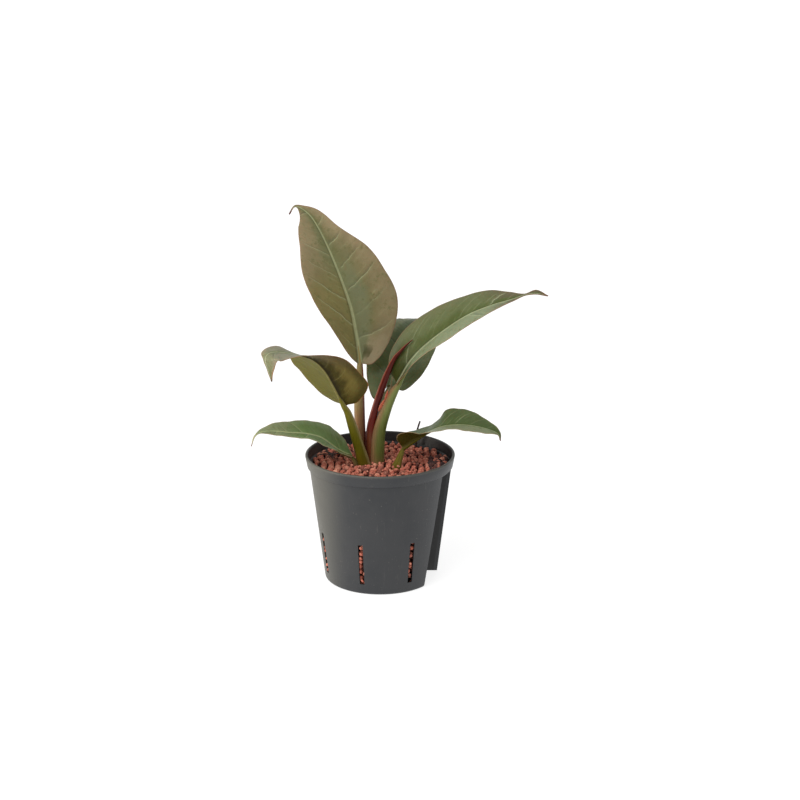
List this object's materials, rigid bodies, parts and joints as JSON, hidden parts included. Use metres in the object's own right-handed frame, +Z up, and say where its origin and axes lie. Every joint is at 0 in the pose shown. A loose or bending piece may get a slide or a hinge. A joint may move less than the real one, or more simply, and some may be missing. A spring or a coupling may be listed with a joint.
{
  "type": "potted imperial red philodendron",
  "caption": "Young broad-leaved philodendron with arching olive to dark green leaves and a rolled red new leaf, standing in clay granules in a slotted grey hydroculture pot.",
  "frame": {"origin": "centre of the pot's flat underside, on the surface that the pot stands on", "axes": "+Z up out of the pot, -Y the front that the picture shows, +X the side with the gauge recess and the long right leaf"},
  "size_m": [0.2497, 0.1842, 0.3219],
  "materials": {
    "pot_plastic": "matte injection-moulded dark grey plastic",
    "clay": "rough broken expanded clay, brick red",
    "leaf_olive": "satin waxy leaf, olive green with a bronze tint",
    "leaf_mustard": "satin leaf, mustard olive underside",
    "leaf_dark": "satin waxy leaf, dark green",
    "leaf_green": "satin leaf, fresh green",
    "stalk_brown": "smooth fleshy stalk, pinkish brown",
    "stalk_green": "smooth fleshy stalk, olive green",
    "spear_red": "glossy rolled new leaf, dark burgundy red",
    "sheath_papery": "dry papery bract, orange red",
    "stem_bark": "rough brown stem base",
    "dry_brown": "dry dark brown roots and stalk"
  },
  "bodies": {
    "root": {"pot": "pot_plastic", "clay_granules": "clay", "crown": "stem_bark", "leaf_tall": "leaf_olive", "leaf_left": "leaf_mustard", "leaf_right": "leaf_olive", "leaf_back": "leaf_dark", "leaf_low_left": "leaf_green", "leaf_low_right": "leaf_green", "petiole_tall": "stalk_brown", "petiole_left": "stalk_green", "petiole_right": "stalk_green", "petiole_back": "stalk_green", "petiole_low_left": "stalk_green", "petiole_low_right": "stalk_green", "spear": "spear_red", "sheath": "sheath_papery", "dry_roots": "dry_brown", "dry_stalk": "dry_brown"}
  },
  "joints": []
}
